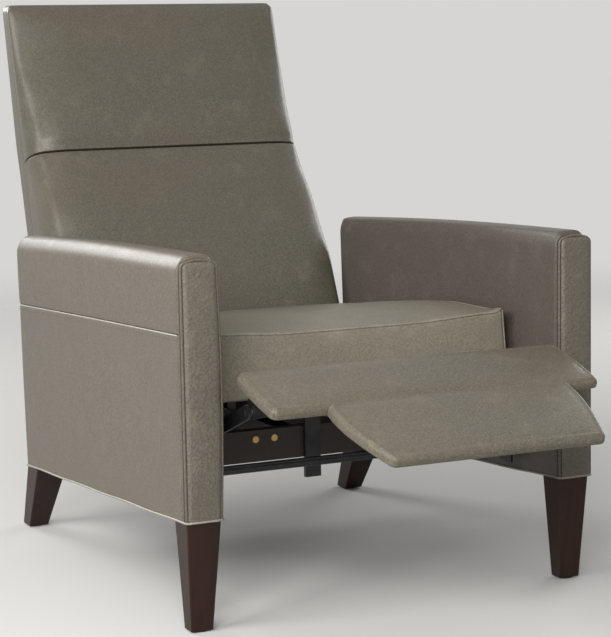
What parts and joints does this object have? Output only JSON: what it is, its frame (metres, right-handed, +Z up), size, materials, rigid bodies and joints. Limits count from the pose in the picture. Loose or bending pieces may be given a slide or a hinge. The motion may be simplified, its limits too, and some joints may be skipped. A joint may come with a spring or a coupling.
{
  "type": "power recliner",
  "caption": "Upholstered power recliner with slab arms, raked wooden legs, sliding seat, reclining back and a linked footrest with a folding tongue.",
  "frame": {"origin": "on the floor under the middle of the outline, with the footrest out and the back half down", "axes": "+Z up, the sitter faces -Y, +X to the viewer's right from the front"},
  "size_m": [0.768, 1.5273, 1.037],
  "materials": {
    "hide": "semi-gloss grained",
    "dark_wood": "satin lacquer",
    "plywood": "raw",
    "black_steel": "satin powder coat",
    "bright_steel": "zinc plated",
    "brass": "bright",
    "black_plastic": "fine texture",
    "rocker_plastic": "satin",
    "webbing": "woven"
  },
  "bodies": {
    "chassis": {"arm_cover_left": "hide", "arm_cover_right": "hide", "arm_panel_left": "hide", "arm_panel_right": "hide", "arm_frame_left": "plywood", "arm_frame_right": "plywood", "front_leg_left": "dark_wood", "front_leg_right": "dark_wood", "rear_leg_left": "dark_wood", "rear_leg_right": "dark_wood", "leg_bolts": "bright_steel", "leg_glides": "black_plastic", "front_rail": "dark_wood", "rail_screws": "brass", "rail_upright": "black_steel", "rear_rail": "dark_wood", "runner_left": "black_steel", "runner_right": "black_steel", "runner_bolts": "bright_steel", "footrest_guides": "black_steel", "drive_track": "black_steel", "drive_screw": "bright_steel", "seat_motor": "black_plastic", "switch_plate": "black_plastic", "control_box": "black_plastic", "power_inlet": "black_plastic"},
    "carriage": {"side_plate_left": "black_steel", "side_plate_right": "black_steel", "carriage_cross_tube": "black_steel", "carriage_pins": "bright_steel", "seat_frame": "plywood", "seat_webbing": "webbing", "seat_cushion": "hide", "drive_nut": "black_plastic", "recline_motor": "black_plastic"},
    "back_rest": {"back_cushion": "hide", "headrest": "hide", "back_shell": "hide", "back_board": "plywood", "back_bracket_left": "black_steel", "back_bracket_right": "black_steel", "back_crank": "black_steel"},
    "recline_plunger": {"recline_rod": "bright_steel"},
    "footrest_links": {"first_link_left": "black_steel", "first_link_right": "black_steel", "first_link_pins": "black_steel"},
    "footrest_stays": {"second_link_left": "black_steel", "second_link_right": "black_steel", "second_link_pins": "bright_steel"},
    "footrest_panel": {"footrest_pad": "hide", "footrest_board": "plywood", "footrest_bracket_left": "black_steel", "footrest_bracket_right": "black_steel", "panel_hinge": "black_steel"},
    "tongue": {"tongue_pad": "hide", "tongue_board": "plywood", "tongue_hinge": "black_steel", "tongue_pin": "bright_steel"},
    "footrest_switch": {"footrest_rocker": "rocker_plastic"},
    "recline_switch": {"recline_rocker": "rocker_plastic"}
  },
  "joints": [
    {"name": "seat_glide", "type": "slide", "parent": "chassis", "child": "carriage", "axis": [0, -1, 0], "range_m": [0, 0.14]},
    {"name": "back_recline", "type": "hinge", "parent": "carriage", "child": "back_rest", "pos_m": [0, 0.3787, 0.37], "axis": [-1, 0, 0], "range_deg": [-14, 16]},
    {"name": "plunger_stroke", "type": "slide", "parent": "carriage", "child": "recline_plunger", "axis": [0, 1, 0], "range_m": [-0.0212, 0.0186]},
    {"name": "link_swing", "type": "hinge", "parent": "carriage", "child": "footrest_links", "pos_m": [0, -0.2013, 0.326], "axis": [1, 0, 0], "range_deg": [-0.3, 75.3]},
    {"name": "stay_fold", "type": "hinge", "parent": "footrest_links", "child": "footrest_stays", "pos_m": [0, -0.32114, 0.31972], "axis": [1, 0, 0], "range_deg": [-150.5, 0.5]},
    {"name": "panel_tilt", "type": "hinge", "parent": "footrest_stays", "child": "footrest_panel", "pos_m": [0, -0.43317, 0.36272], "axis": [1, 0, 0], "range_deg": [-0.5, 150.5]},
    {"name": "tongue_fold", "type": "hinge", "parent": "footrest_panel", "child": "tongue", "pos_m": [0, -0.57408, 0.3549], "axis": [1, 0, 0], "range_deg": [-0.5, 173.5]},
    {"name": "footrest_rocker_tilt", "type": "hinge", "parent": "chassis", "child": "footrest_switch", "pos_m": [-0.3135, -0.1803, 0.518], "axis": [0, 0, 1], "range_deg": [-5, 5], "stiffness_Nm_per_rad": 0.05},
    {"name": "recline_rocker_tilt", "type": "hinge", "parent": "chassis", "child": "recline_switch", "pos_m": [-0.3135, -0.1363, 0.518], "axis": [0, 0, 1], "range_deg": [-5, 5], "stiffness_Nm_per_rad": 0.05}
  ],
  "couplings": [
    {"joint": "link_swing", "follows": "seat_glide", "rad_per_m": 9.35},
    {"joint": "stay_fold", "follows": "seat_glide", "rad_per_m": -18.7},
    {"joint": "panel_tilt", "follows": "seat_glide", "rad_per_m": 18.7},
    {"joint": "tongue_fold", "follows": "seat_glide", "rad_per_m": 21.567},
    {"joint": "plunger_stroke", "follows": "back_recline", "m_per_rad": -0.074}
  ]
}
